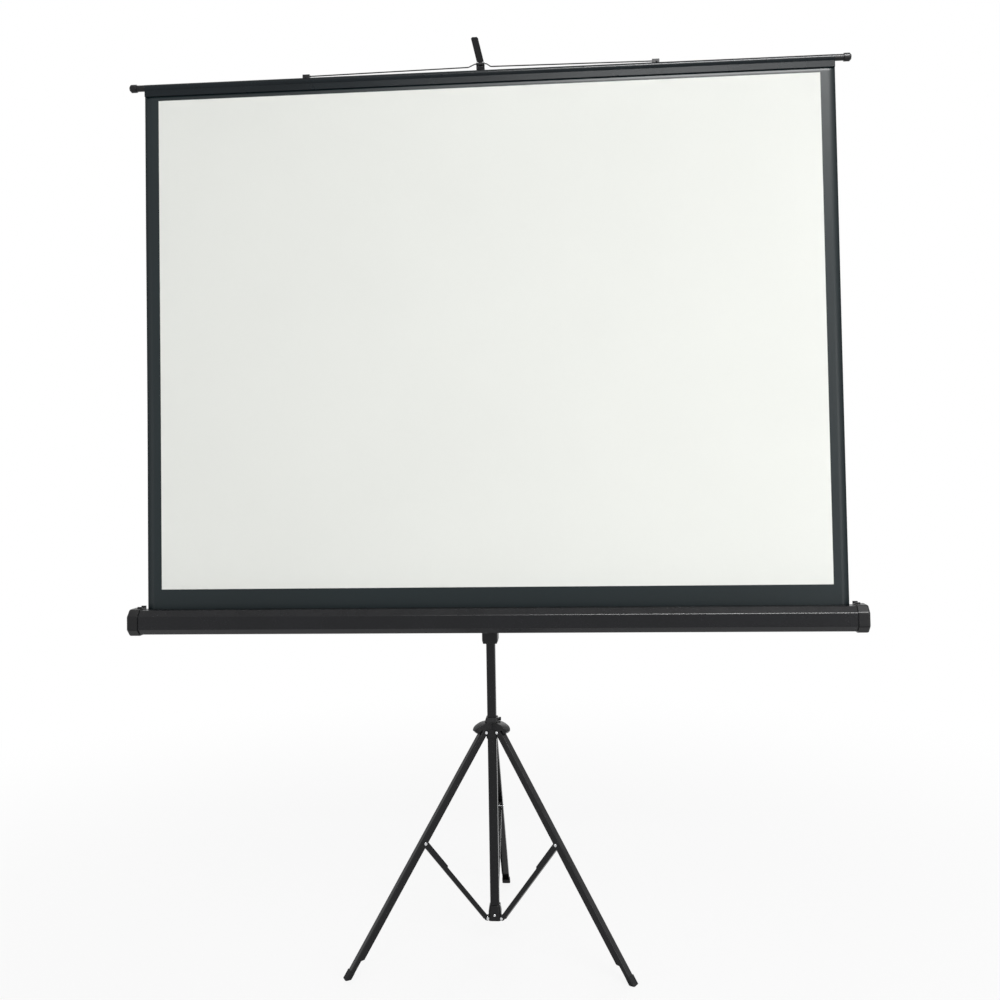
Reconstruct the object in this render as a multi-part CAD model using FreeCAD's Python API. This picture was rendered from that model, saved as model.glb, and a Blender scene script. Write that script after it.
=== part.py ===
import FreeCAD, Part
import math
import os

# Portable tripod projection screen, in millimetres, +Z up, seen from -Y.
# It is drawn about the mast's axis, and moved at the end so that the origin
# lies on the floor under the middle of the feet.

V = FreeCAD.Vector
X_AXIS = V(1, 0, 0)
Y_AXIS = V(0, 1, 0)
Z_AXIS = V(0, 0, 1)

# Screen surface
picture_width = 1707.0
picture_height = 1280.0
side_border = 36.5
top_border = 12.0
bottom_border = 50.0
fabric_thickness = 0.5
fabric_tuck = 10.0
picture_bottom_z = 923.0
fabric_y = -73.0

# Clearances
running_clearance = 0.08
slip_clearance = 0.3
sheet_clearance = 0.3
crown_clearance = 1.2
open_pivot_play = 1.7

# Mast and its telescopic extension
mast_size = 23.0
mast_corner = 4.5
mast_wall = 1.5
mast_top_z = 1225.0
extension_radius = 9.0
extension_wall = 1.2
extension_bottom_z = 1095.0
glide_height = 34.0
glide_spigot = 20.0

# Bush and lock lever on top of the mast
bush_wall = 2.6
bush_height = 34.0
bush_lip = 6.0
ear_thickness = 3.5
ear_height = 18.0
lever_width = 12.0
lever_below = 20.4
lever_above = 13.6
lever_thickness = 6.0
lever_stand_off = 3.6
lever_pin_radius = 2.0

# Legs, braces and their pins
leg_angle = 34.0
leg_length = 650.0
leg_width = 20.0
leg_wall = 1.4
leg_corner = 4.0
leg_pivot_radius = 21.5
leg_inside = 4.5
leg_outside = 12.0
leg_top = 6.0
leg_chamfer = 4.4
neck_depth = 10.4
neck_length = 40.0
neck_slope = 6.0
brace_along_leg = 306.0
brace_length = 275.6
brace_width = 13.0
brace_wall = 1.2
brace_corner = 2.4
brace_half_depth = 5.0
brace_outside = 7.0
brace_deep_inside = 8.0
brace_deep_length = 92.0
brace_end = 5.5
pin_radius = 2.5
pin_head_radius = 3.75
pin_head_height = 1.6

# Rubber feet
foot_wall = 1.4
foot_grip = 9.0
foot_sole = 16.0
foot_lift = 5.0
foot_corner = 4.0

# Hub at the foot of the mast
hub_pivot_radius = 24.5
hub_size = 32.5
hub_corner = 8.0
hub_below_pivot = 7.5
hub_shoulder = 14.0
hub_neck = 30.0
hub_neck_size = 27.6
hub_lug_width = 10.0
hub_lug_radius = 5.5
hub_screw_radius = 3.2
hub_screw_height = 1.4
hub_front_screw_z = 7.0
hub_side_screw_z = 26.0

# Crown that slides on the mast
crown_wall = 1.8
crown_corner = 4.0
crown_lug_width = 14.0
crown_lug_radius = 6.0
crown_sleeve_below = 17.0
crown_taper = 7.0
crown_foot_wall = 0.9
dome_radius = 53.5
dome_top = 26.0
dome_rim = 7.5
dome_bulge = 4.0
dome_wall = 2.6
dome_lip_depth = 8.0
dome_lip_width = 8.0
hood_overhang = 2.8
hood_wall = 1.8
neck_height = 11.0
neck_flare = 3.5
knob_radius = 4.6
knob_height = 5.5
knob_groove = 0.4
knob_shaft_radius = 2.2

# Case, hanging in front of the mast
case_shift = 6.0
case_y = -84.0
case_z = 842.0
case_depth = 64.0
case_height = 62.0
case_chamfer = 15.0
case_wall = 1.6
case_round = 4.5
case_end_room = 29.0
slot_width = 8.0
cap_wall = 3.0
cap_grip = 18.0
cap_end = 10.0
cap_bevel = 5.0
cradle_height = 4.0
cradle_length = 12.0
cradle_thickness = 4.0
cap_screw_radius = 3.2
cap_screw_height = 1.6

# Spring roller inside the case
roller_radius = 16.0
roller_wall = 1.2
wrap_thickness = 0.6
roller_end_gap = 6.0
plug_length = 24.0
arbor_radius = 4.0
arbor_length = 260.0
spring_radius = 11.0
spring_length = 200.0

# Carriage on the mast, with the case's pivot
carriage_width = 40.0
carriage_bottom_z = 772.0
carriage_height = 112.0
carriage_front = 19.0
carriage_back = 8.0
carriage_corner = 4.0
carriage_taper = 8.0
bolt_radius = 5.0
bolt_head_radius = 9.0
bolt_head_height = 6.0
bolt_depth = 14.0
washer_radius = 16.0
washer_thickness = 1.6
bracket_width = 130.0
bracket_height = 44.0
bracket_wall = 4.0
bracket_screw_radius = 3.5
bracket_screw_height = 2.2
bracket_screw_proud = 0.6
bracket_screw_inset = 8.0

# Carry handle and release button on the carriage's back
handle_width = 20.0
handle_reach = 46.0
handle_height = 92.0
handle_bar = 14.0
handle_corner = 6.0
button_width = 12.0
button_depth = 9.0
button_height = 16.0
button_proud = 6.0

# Slat at the top edge of the screen
slat_height = 32.0
slat_bead_radius = 8.5
slat_bore_radius = 7.0
slat_blade = 8.0
slat_slot = 1.2
end_rod_length = 22.0
end_knob_radius = 10.5
end_knob_length = 18.0
end_knob_round = 4.0
end_spigot = 30.0

# Bail wire and its clips
bail_span = 889.0
bail_wire_radius = 1.6
bail_rise = 24.0
bail_shoulder = 29.0
bail_hump_half = 15.0
bail_bend = 5.0
bail_axle = 11.0
clip_width = 31.0
clip_depth = 13.0
clip_height = 7.0
clip_roof = 1.5
clip_screw_radius = 2.6
clip_screw_height = 1.2
clip_screw_inset = 7.0

# Hook that holds the bail
hook_pin_y = -23.5
hook_pin_above_slat = 34.0
hook_knuckle_radius = 5.0
hook_strut_width = 22.0
hook_strut_half = 4.0
hook_tongue_width = 11.0
hook_ring_wall = 2.5
hook_ring_height = 30.0
hook_ring_drop = 24.0
arm_width = 18.5
arm_thickness = 3.0
arm_length = 68.0
arm_lean = 26.0
arm_slant = 12.0
arm_corner = 3.0
arm_shoulder = 6.2

# Worked out from the sizes above
fabric_half = picture_width / 2 + side_border
case_length = 2 * (fabric_half + case_end_room)
slat_bottom_z = picture_bottom_z + picture_height + top_border
slat_top_z = slat_bottom_z + slat_height
bead_z = slat_top_z - slat_bead_radius
lean = math.radians(leg_angle)
neck_inside = leg_outside - neck_depth
crown_pivot_z = leg_length * math.cos(lean) - neck_inside * math.sin(lean) + foot_lift
rivet_radius = leg_pivot_radius + brace_along_leg * math.sin(lean)
rivet_z = crown_pivot_z - brace_along_leg * math.cos(lean)
brace_angle = math.degrees(math.asin((rivet_radius - hub_pivot_radius) / brace_length))
hub_pivot_z = rivet_z - brace_length * math.cos(math.radians(brace_angle))
mast_bottom_z = hub_pivot_z - hub_below_pivot
mast_half = mast_size / 2
roller_y = fabric_y - fabric_thickness / 2 - sheet_clearance - roller_radius - wrap_thickness
case_back_y = case_y + case_depth / 2
carriage_front_y = -mast_half - carriage_front
carriage_back_y = mast_half + carriage_back
bracket_front_y = carriage_front_y - washer_thickness - 2 * running_clearance
hinge_z = slat_top_z + clip_height - bail_wire_radius - running_clearance - clip_roof
hook_pin_z = slat_top_z + hook_pin_above_slat
leg_turns = {"left": -150.0, "right": -30.0, "rear": 90.0}
carrier_leg = "rear"


# Basic shapes

def block(x_low, x_high, y_low, y_high, z_low, z_high):
    """A box between two corners."""
    return Part.makeBox(x_high - x_low, y_high - y_low, z_high - z_low, V(x_low, y_low, z_low))


def rod(start, direction, radius, length):
    """A round bar."""
    return Part.makeCylinder(radius, length, start, direction)


def pipe(start, direction, radius, wall, length):
    """A round tube."""
    return rod(start, direction, radius, length).cut(rod(start, direction, radius - wall, length))


def prism(points, sweep):
    """A flat outline swept along a vector."""
    return Part.Face(Part.makePolygon(points + points[:1])).extrude(sweep)


def rounded_wire(width, depth, radius, z):
    """A rectangle with quarter-round corners, level at z, about the Z axis."""
    x, y = width / 2, depth / 2
    cut = radius * (1 - math.sqrt(0.5))
    edges = []
    for turn, (a, b) in enumerate([(x, y), (y, x), (x, y), (y, x)]):
        corner = Part.Arc(V(a - radius, -b, z), V(a - cut, -b + cut, z), V(a, -b + radius, z)).toShape()
        side = Part.makeLine(V(a, -b + radius, z), V(a, b - radius, z))
        for edge in (corner, side):
            edge.rotate(V(0, 0, 0), Z_AXIS, 90 * turn)
            edges.append(edge)
    return Part.Wire(Part.__sortEdges__(edges))


def bar(width, depth, radius, z_low, z_high):
    """An upright bar of rounded rectangular section about the Z axis."""
    return Part.Face(rounded_wire(width, depth, radius, z_low)).extrude(V(0, 0, z_high - z_low))


def taper(low_size, high_size, radius, z_low, z_high):
    """An upright square bar that changes size from bottom to top."""
    low = rounded_wire(low_size, low_size, radius, z_low)
    high = rounded_wire(high_size, high_size, radius, z_high)
    return Part.makeLoft([low, high], True, True)


def fuse(shapes):
    """One solid from several."""
    return shapes[0].multiFuse(shapes[1:]).removeSplitter()


def group(shapes):
    """Separate solids kept in one node."""
    return Part.makeCompound(shapes)


def channel(width, inside, outside, wall, corner, z_low, z_high):
    """A U channel along Z, with its web at +X and its open side at -X."""
    half = width / 2
    cut = corner * (1 - math.sqrt(0.5))
    inner = corner - wall
    inner_cut = inner * (1 - math.sqrt(0.5))
    web = outside - wall
    tip = half - wall

    def arc(a, b, c):
        return Part.Arc(V(a[0], a[1], z_low), V(b[0], b[1], z_low), V(c[0], c[1], z_low)).toShape()

    def line(a, b):
        return Part.makeLine(V(a[0], a[1], z_low), V(b[0], b[1], z_low))

    edges = [
        line((-inside, -half), (outside - corner, -half)),
        arc((outside - corner, -half), (outside - cut, -half + cut), (outside, -half + corner)),
        line((outside, -half + corner), (outside, half - corner)),
        arc((outside, half - corner), (outside - cut, half - cut), (outside - corner, half)),
        line((outside - corner, half), (-inside, half)),
        line((-inside, half), (-inside, tip)),
        line((-inside, tip), (web - inner, tip)),
        arc((web - inner, tip), (web - inner_cut, tip - inner_cut), (web, tip - inner)),
        line((web, tip - inner), (web, -tip + inner)),
        arc((web, -tip + inner), (web - inner_cut, -tip + inner_cut), (web - inner, -tip)),
        line((web - inner, -tip), (-inside, -tip)),
        line((-inside, -tip), (-inside, -half)),
    ]
    return Part.Face(Part.Wire(edges)).extrude(V(0, 0, z_high - z_low))


def round_path(points, bend):
    """Straight runs through points, joined by tangent arcs."""
    edges = []
    start = points[0]
    for before, point, after in zip(points, points[1:], points[2:]):
        to_before = (before - point).normalize()
        to_after = (after - point).normalize()
        half_angle = to_before.getAngle(to_after) / 2
        reach = bend / math.tan(half_angle)
        middle = (to_before + to_after).normalize()
        first = point + to_before * reach
        last = point + to_after * reach
        top = point + middle * (bend / math.sin(half_angle) - bend)
        edges.append(Part.makeLine(start, first))
        edges.append(Part.Arc(first, top, last).toShape())
        start = last
    edges.append(Part.makeLine(start, points[-1]))
    return Part.Wire(edges)


def wire_along(path, radius):
    """A round wire that follows a path."""
    first = path.Edges[0]
    start = first.Vertexes[0].Point
    section = Part.Wire(Part.makeCircle(radius, start, first.tangentAt(first.FirstParameter)))
    return path.makePipeShell([section], True, False)


def cross_pin(x, z, half_length):
    """A riveted pin along Y, with a head at each end."""
    shapes = [rod(V(x, -half_length, z), Y_AXIS, pin_radius, 2 * half_length)]
    for side in (-1, 1):
        shapes.append(rod(V(x, side * half_length, z), Y_AXIS * side, pin_head_radius, pin_head_height))
    return fuse(shapes)


def pin_hole(x, z, radius):
    """The cutter for a pin's hole along Y."""
    return rod(V(x, -leg_width, z), Y_AXIS, radius, 2 * leg_width)


# Tripod

def set_leg(shape, turn):
    """Moves a piece from the leg's own frame, pivot at the origin, to its place."""
    moved = shape.copy()
    moved.rotate(V(0, 0, 0), Y_AXIS, -leg_angle)
    moved.translate(V(leg_pivot_radius, 0, crown_pivot_z))
    moved.rotate(V(0, 0, 0), Z_AXIS, turn)
    return moved


def set_brace(shape, turn):
    """Moves a piece from the brace's own frame, hub pivot at the origin, to its place."""
    moved = shape.copy()
    moved.rotate(V(0, 0, 0), Y_AXIS, brace_angle)
    moved.translate(V(hub_pivot_radius, 0, hub_pivot_z))
    moved.rotate(V(0, 0, 0), Z_AXIS, turn)
    return moved


def make_leg():
    """One leg channel, hanging down from its pivot."""
    leg = channel(leg_width, leg_inside, leg_outside, leg_wall, leg_corner, -leg_length, leg_top)
    past = leg_width
    low = -leg_length - past
    notch_top = -leg_length + neck_length
    notch = [
        V(-past, -past, low),
        V(neck_inside, -past, low),
        V(neck_inside, -past, notch_top),
        V(-past, -past, notch_top + neck_slope * (past + neck_inside) / (leg_inside + neck_inside)),
    ]
    top = [
        V(-past, -past, leg_top + leg_chamfer),
        V(-leg_inside + 2 * leg_chamfer, -past, leg_top + leg_chamfer),
        V(-leg_inside - leg_chamfer, -past, leg_top - 2 * leg_chamfer),
        V(-past, -past, leg_top - 2 * leg_chamfer),
    ]
    for outline in (notch, top):
        leg = leg.cut(prism(outline, V(0, 2 * past, 0)))
    for z in (0, -brace_along_leg):
        leg = leg.cut(pin_hole(0, z, pin_radius))
    return leg


def make_foot():
    """The rubber shoe on a leg's end, before it is cut level with the floor."""
    depth = neck_depth + 2 * foot_wall
    low, high = -leg_length - foot_sole, -leg_length + foot_grip
    shoe = bar(depth, leg_width + 2 * foot_wall, foot_corner, low, high)
    shoe.translate(V(neck_inside + neck_depth / 2, 0, 0))
    half = leg_width / 2
    socket = block(neck_inside, leg_outside, -half, half, -leg_length, high)
    return shoe.cut(socket)


def make_brace():
    """One brace channel, standing up from its hub pivot."""
    top = brace_length + brace_end
    section = (brace_width, brace_deep_inside, brace_outside, brace_wall, brace_corner)
    brace = channel(*section, -brace_end, top)
    past = brace_width
    step = brace_length - brace_deep_length
    slope = brace_deep_inside - brace_half_depth
    narrow = [
        V(-past, -past, -brace_end - brace_wall),
        V(-brace_half_depth, -past, -brace_end - brace_wall),
        V(-brace_half_depth, -past, step),
        V(-brace_deep_inside, -past, step + slope),
        V(-past, -past, step + slope),
    ]
    brace = brace.cut(prism(narrow, V(0, 2 * past, 0)))
    clear_web = hub_lug_radius + brace_half_depth
    tip = brace_width / 2
    inner = tip - brace_wall
    brace = brace.cut(block(0, past, -inner, inner, -past, clear_web))
    square_end = block(-past, past, -tip, tip, -past, 0)
    brace = brace.cut(square_end.cut(rod(V(0, -tip, 0), Y_AXIS, brace_end, brace_width)))
    corner = [
        V(-past, -past, top + brace_wall),
        V(-brace_half_depth + brace_wall, -past, top + brace_wall),
        V(-past, -past, top - past + brace_half_depth),
    ]
    brace = brace.cut(prism(corner, V(0, 2 * past, 0)))
    for z in (0, brace_length):
        brace = brace.cut(pin_hole(0, z, pin_radius + running_clearance))
    return brace


def make_hub():
    """The moulded hub fixed round the foot of the mast, with a lug for each brace."""
    body = bar(hub_size, hub_size, hub_corner, mast_bottom_z, hub_pivot_z + hub_shoulder)
    neck = taper(hub_size, hub_neck_size, hub_corner, hub_pivot_z + hub_shoulder, hub_pivot_z + hub_neck)
    half = hub_lug_width / 2
    shapes = [body, neck]
    for turn in leg_turns.values():
        eye = rod(V(hub_pivot_radius, -half, hub_pivot_z), Y_AXIS, hub_lug_radius, hub_lug_width)
        low, high = hub_pivot_z - hub_lug_radius, hub_pivot_z + hub_lug_radius
        arm = block(mast_half, hub_pivot_radius, -half, half, low, high)
        for shape in (eye, arm):
            shape.rotate(V(0, 0, 0), Z_AXIS, turn)
            shapes.append(shape)
    hub = fuse(shapes)
    for turn in leg_turns.values():
        hole = pin_hole(hub_pivot_radius, hub_pivot_z, pin_radius)
        hole.rotate(V(0, 0, 0), Z_AXIS, turn)
        hub = hub.cut(hole)
    hub = hub.cut(group(make_hub_screws()))
    return hub.cut(bar(mast_size, mast_size, mast_corner, mast_bottom_z, hub_pivot_z + hub_neck))


def make_hub_pin(turn):
    """The pin that joins a brace to the hub."""
    pin = cross_pin(hub_pivot_radius, hub_pivot_z, brace_width / 2 + running_clearance)
    pin.rotate(V(0, 0, 0), Z_AXIS, turn)
    return pin


def make_hub_screws():
    """The screw heads on the hub's front and right side."""
    front_start = V(0, -hub_size / 2, hub_pivot_z + hub_front_screw_z)
    front = rod(front_start, -Y_AXIS, hub_screw_radius, hub_screw_height)
    share = (hub_side_screw_z - hub_shoulder) / (hub_neck - hub_shoulder)
    wall_x = (hub_size + (hub_neck_size - hub_size) * share) / 2
    sunk = hub_neck_size / 2
    side_start = V(sunk, 0, hub_pivot_z + hub_side_screw_z)
    side = rod(side_start, X_AXIS, hub_screw_radius, wall_x - sunk + hub_screw_height)
    return [front, side]


def make_crown():
    """The moulded crown: a sleeve on the mast, with a hood and a lug for each leg."""
    bore = mast_size + 2 * crown_clearance
    sleeve_size = bore + 2 * crown_wall
    bottom = crown_pivot_z - crown_sleeve_below
    dome_base = crown_pivot_z + dome_top
    neck_top = dome_base + neck_height
    foot_size = bore + 2 * crown_foot_wall
    rim_z = crown_pivot_z + dome_rim
    inner = sleeve_size / 2 - crown_wall
    shoulder = sleeve_size / 2 + neck_flare

    def arc_edge(r_low, z_low, r_high, z_high, bulge):
        middle = V((r_low + r_high) / 2 + bulge / 2, 0, (z_low + z_high) / 2 + bulge)
        return Part.Arc(V(r_low, 0, z_low), middle, V(r_high, 0, z_high)).toShape()

    lip_r = dome_radius - dome_lip_width
    lip_z = rim_z - dome_lip_depth
    hollow_r = lip_r - dome_wall
    hollow_z = dome_base - 2 * dome_wall
    corners = [
        V(inner, 0, dome_base),
        V(shoulder, 0, dome_base),
        V(dome_radius, 0, rim_z),
        V(lip_r, 0, lip_z),
        V(hollow_r, 0, rim_z - dome_wall),
        V(shoulder, 0, hollow_z),
        V(inner, 0, hollow_z),
    ]
    edges = [
        Part.makeLine(corners[0], corners[1]),
        arc_edge(corners[2].x, corners[2].z, corners[1].x, corners[1].z, dome_bulge),
        Part.makeLine(corners[2], corners[3]),
        Part.makeLine(corners[3], corners[4]),
        arc_edge(corners[4].x, corners[4].z, corners[5].x, corners[5].z, dome_bulge),
        Part.makeLine(corners[5], corners[6]),
        Part.makeLine(corners[6], corners[0]),
    ]
    dome = Part.Face(Part.Wire(Part.__sortEdges__(edges))).revolve(V(0, 0, 0), Z_AXIS, 360)
    rim_centre = V(inner, 0, rim_z)
    under = [
        edges[0],
        edges[1],
        Part.makeLine(corners[2], rim_centre),
        Part.makeLine(rim_centre, corners[0]),
    ]
    hood_half = leg_width / 2 + hood_overhang
    tip = dome_radius - hood_half

    def lobe(inset, turn):
        plan = block(0, tip, inset - hood_half, hood_half - inset, lip_z, neck_top)
        plan = plan.fuse(rod(V(tip, 0, lip_z), Z_AXIS, hood_half - inset, neck_top - lip_z))
        plan.rotate(V(0, 0, 0), Z_AXIS, turn)
        return plan

    bell = Part.Face(Part.Wire(Part.__sortEdges__(under))).revolve(V(0, 0, 0), Z_AXIS, 360)
    hoods = []
    for turn in leg_turns.values():
        outer, hollow = lobe(0, turn), lobe(hood_wall, turn)
        hoods.append(dome.common(outer))
        hoods.append(bell.common(outer).cut(hollow))
    shapes = [
        bar(sleeve_size, sleeve_size, crown_corner, bottom + crown_taper, dome_base),
        taper(foot_size, sleeve_size, crown_corner, bottom, bottom + crown_taper),
        taper(2 * shoulder, sleeve_size, crown_corner, dome_base, neck_top),
    ] + hoods
    half = crown_lug_width / 2
    low, high = crown_pivot_z - crown_lug_radius, crown_pivot_z + crown_lug_radius
    for turn in leg_turns.values():
        eye = rod(V(leg_pivot_radius, -half, crown_pivot_z), Y_AXIS, crown_lug_radius, crown_lug_width)
        arm = block(inner, leg_pivot_radius, -half, half, low, high)
        for shape in (eye, arm):
            shape.rotate(V(0, 0, 0), Z_AXIS, turn)
            shapes.append(shape)
    crown = fuse(shapes)
    for name, turn in leg_turns.items():
        play = running_clearance if name == carrier_leg else open_pivot_play
        hole = pin_hole(leg_pivot_radius, crown_pivot_z, pin_radius + play)
        hole.rotate(V(0, 0, 0), Z_AXIS, turn)
        crown = crown.cut(hole)
    crown = crown.cut(bar(bore, bore, mast_corner + crown_clearance, bottom, neck_top))
    shaft = V(0, 0, dome_base + neck_height / 2)
    return crown.cut(rod(shaft, X_AXIS, knob_shaft_radius + running_clearance, dome_radius))


def make_crown_knob():
    """The knurled screw that clamps the crown on the mast."""
    z = crown_pivot_z + dome_top + neck_height / 2
    start = mast_half + slip_clearance
    face = mast_half + crown_clearance + crown_wall + neck_flare
    shaft = rod(V(start, 0, z), X_AXIS, knob_shaft_radius, face - start)
    head = rod(V(face, 0, z), X_AXIS, knob_radius, knob_height)
    for turn in range(0, 360, 30):
        angle = math.radians(turn)
        centre = V(face, knob_radius * math.cos(angle), z + knob_radius * math.sin(angle))
        head = head.cut(rod(centre, X_AXIS, knob_groove, knob_height))
    return fuse([shaft, head])


# Mast, extension and hook

def make_mast():
    """The square outer tube."""
    outer = bar(mast_size, mast_size, mast_corner, mast_bottom_z, mast_top_z)
    inside = mast_size - 2 * mast_wall
    return outer.cut(bar(inside, inside, mast_corner - mast_wall, mast_bottom_z, mast_top_z))


def make_bush():
    """The guide bush capping the mast, with ears for the lock lever behind."""
    size = mast_size + 2 * bush_wall
    bottom = mast_top_z + bush_lip - bush_height
    top = mast_top_z + bush_lip
    shapes = [bar(size, size, mast_corner + bush_wall, bottom, top)]
    back = size / 2
    reach = back + lever_stand_off + lever_thickness / 2
    pin_z = (bottom + top) / 2
    for side in (-1, 1):
        near = side * (lever_width / 2 + slip_clearance)
        far = near + side * ear_thickness
        low, high = min(near, far), max(near, far)
        half = ear_height / 2
        shapes.append(block(low, high, back - bush_wall, reach, pin_z - half, pin_z + half))
        shapes.append(rod(V(low, reach, pin_z), X_AXIS, half, ear_thickness))
    bush = fuse(shapes)
    bush = bush.cut(bar(mast_size, mast_size, mast_corner, bottom, mast_top_z))
    bush = bush.cut(rod(V(0, 0, bottom), Z_AXIS, extension_radius + running_clearance, bush_height))
    return bush.cut(rod(V(-mast_size, reach, pin_z), X_AXIS, lever_pin_radius, 2 * mast_size))


def lever_place():
    """The lock lever's pivot, as its y and z."""
    back = mast_half + bush_wall
    return back + lever_stand_off + lever_thickness / 2, mast_top_z + bush_lip - bush_height / 2


def make_lever():
    """The spring lever that frees the extension."""
    y, z = lever_place()
    half = lever_width / 2
    near, far = y - lever_thickness / 2, y + lever_thickness / 2
    low, high = z - lever_below, z + lever_above
    side = [
        V(-half, near, high),
        V(-half, far, high),
        V(-half, far, z),
        V(-half, far + lever_thickness, low),
        V(-half, far, low),
        V(-half, near, z),
    ]
    lever = prism(side, V(lever_width, 0, 0))
    return lever.cut(rod(V(-half, y, z), X_AXIS, lever_pin_radius + running_clearance, lever_width))


def make_lever_pin():
    """The lock lever's pivot pin, across the ears."""
    y, z = lever_place()
    half = lever_width / 2 + slip_clearance + ear_thickness
    return rod(V(-half, y, z), X_AXIS, lever_pin_radius, 2 * half)


def make_extension():
    """The round tube that slides in the mast and carries the hook."""
    length = slat_top_z - extension_bottom_z
    return pipe(V(0, 0, extension_bottom_z), Z_AXIS, extension_radius, extension_wall, length)


def make_glide():
    """The guide block under the extension tube, inside the mast."""
    inside = mast_size - 2 * mast_wall - 2 * slip_clearance
    corner = mast_corner - mast_wall
    body = bar(inside, inside, corner, extension_bottom_z - glide_height, extension_bottom_z)
    spigot = rod(V(0, 0, extension_bottom_z), Z_AXIS, extension_radius - extension_wall, glide_spigot)
    return fuse([body, spigot])


def make_hook_bracket():
    """The clamp ring on the extension, with a forked strut up to the arm's pin."""
    ring_top = slat_top_z - hook_ring_drop + hook_ring_height
    ring_bottom = slat_top_z - hook_ring_drop
    ring_radius = extension_radius + hook_ring_wall
    ring = rod(V(0, 0, ring_bottom), Z_AXIS, ring_radius, hook_ring_height)
    half = hook_strut_width / 2
    start = V(0, -extension_radius, ring_bottom + hook_strut_half)
    end = V(0, hook_pin_y, hook_pin_z)
    along = (end - start).normalize()
    across = X_AXIS.cross(along) * hook_strut_half
    shift = V(-half, 0, 0)
    outline = [start + across + shift, end + across + shift, end - across + shift, start - across + shift]
    strut = prism(outline, V(hook_strut_width, 0, 0))
    knuckle = rod(end + shift, X_AXIS, hook_knuckle_radius, hook_strut_width)
    bracket = fuse([ring, strut, knuckle])
    slot = hook_tongue_width / 2 + slip_clearance
    gap = hook_knuckle_radius + 1
    y, z = hook_pin_y, hook_pin_z
    bracket = bracket.cut(block(-slot, slot, y - gap, y + gap, z - gap, z + gap))
    bracket = bracket.cut(rod(end + shift, X_AXIS, pin_radius, hook_strut_width))
    return bracket.cut(rod(V(0, 0, ring_bottom), Z_AXIS, extension_radius, slat_top_z - ring_bottom))


def make_hook_pin():
    """The arm's hinge pin."""
    half = hook_strut_width / 2
    return rod(V(-half, hook_pin_y, hook_pin_z), X_AXIS, pin_radius, hook_strut_width)


def make_arm():
    """The slanted strap that the bail hangs behind, hinged at its foot."""
    half = arm_width / 2
    thick = arm_thickness / 2
    tongue = hook_tongue_width / 2
    tip = -arm_slant
    outline = [
        V(-half, -thick, arm_shoulder),
        V(half, -thick, arm_shoulder),
        V(half + tip, -thick, arm_length - arm_corner),
        V(half + tip - arm_corner, -thick, arm_length),
        V(-half + tip + arm_corner, -thick, arm_length),
        V(-half + tip, -thick, arm_length - arm_corner),
    ]
    strap = prism(outline, V(0, arm_thickness, 0))
    stem = block(-tongue, tongue, -thick, thick, 0, arm_shoulder)
    eye = rod(V(-tongue, 0, 0), X_AXIS, hook_knuckle_radius, hook_tongue_width)
    hole = rod(V(-half, 0, 0), X_AXIS, pin_radius + running_clearance, arm_width)
    arm = fuse([strap, stem, eye]).cut(hole)
    arm.rotate(V(0, 0, 0), X_AXIS, arm_lean)
    arm.translate(V(0, hook_pin_y, hook_pin_z))
    return arm


# Case and roller

def case_outline(grow, x):
    """The case's eight-sided section, grown outwards, at a place along X."""
    y, z = case_depth / 2 + grow, case_height / 2 + grow
    cut = case_chamfer + grow * (2 - math.sqrt(2))
    points = [(-y, -z + cut), (-y, z - cut), (-y + cut, z), (y - cut, z)]
    points += [(-a, -b) for a, b in points]
    return [V(x, case_y + a, case_z + b) for a, b in points]


def case_bar(grow, x, run):
    """A solid length of the case's section, with its long edges rounded."""
    solid = prism(case_outline(grow, x), run)
    long_edges = [e for e in solid.Edges if abs(e.tangentAt(e.FirstParameter).x) > 0.99]
    return solid.makeFillet(case_round + grow, long_edges)


def make_case_shell():
    """The long rolled case, open along its slot."""
    low = case_shift - case_length / 2
    run = V(case_length, 0, 0)
    shell = case_bar(0, low, run).cut(case_bar(-case_wall, low, run))
    half = slot_width / 2
    top = case_z + case_height / 2
    slot = block(low, low + case_length, fabric_y - half, fabric_y + half, case_z, top)
    return shell.cut(slot)


def cap_frame(side):
    """The x of the case's end on one side, and the way out from it."""
    return case_shift + side * case_length / 2, V(side, 0, 0)


def make_cap(side):
    """An end cap that sleeves over the case, with a cradle for the slat's end on top."""
    end_x, out = cap_frame(side)
    start = end_x - side * cap_grip
    body = case_bar(cap_wall, start, out * (cap_grip + cap_end))
    end = max(body.Faces, key=lambda face: side * face.CenterOfMass.x)
    body = body.makeFillet(cap_bevel, end.Edges)
    top = case_z + case_height / 2 + cap_wall
    ribs = []
    for way in (-1, 1):
        y = fabric_y + way * (slat_bead_radius + cradle_thickness)
        low, high = sorted((start, start + side * cradle_length))
        near, far = y - cradle_thickness / 2, y + cradle_thickness / 2
        ribs.append(block(low, high, near, far, top - case_chamfer, top + cradle_height))
    return fuse([body] + ribs).cut(case_bar(0, start, out * cap_grip))


def make_cap_screws(side):
    """Two screws through an end cap into the case's back and bottom."""
    end_x = cap_frame(side)[0]
    x = end_x - side * cap_grip / 2
    back = V(x, case_back_y + cap_wall, case_z)
    under = V(x, case_y, case_z - case_height / 2 - cap_wall)
    places = [(back, Y_AXIS), (under, -Z_AXIS)]
    return [rod(start, way, cap_screw_radius, cap_screw_height) for start, way in places]


def make_roller():
    """The roller tube that the fabric winds on."""
    length = case_length - 2 * roller_end_gap
    return pipe(V(case_shift - length / 2, roller_y, case_z), X_AXIS, roller_radius, roller_wall, length)


def make_wraps():
    """The last turns of fabric left on the roller."""
    start = V(case_shift - fabric_half, roller_y, case_z)
    return pipe(start, X_AXIS, roller_radius + wrap_thickness, wrap_thickness, 2 * fabric_half)


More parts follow.
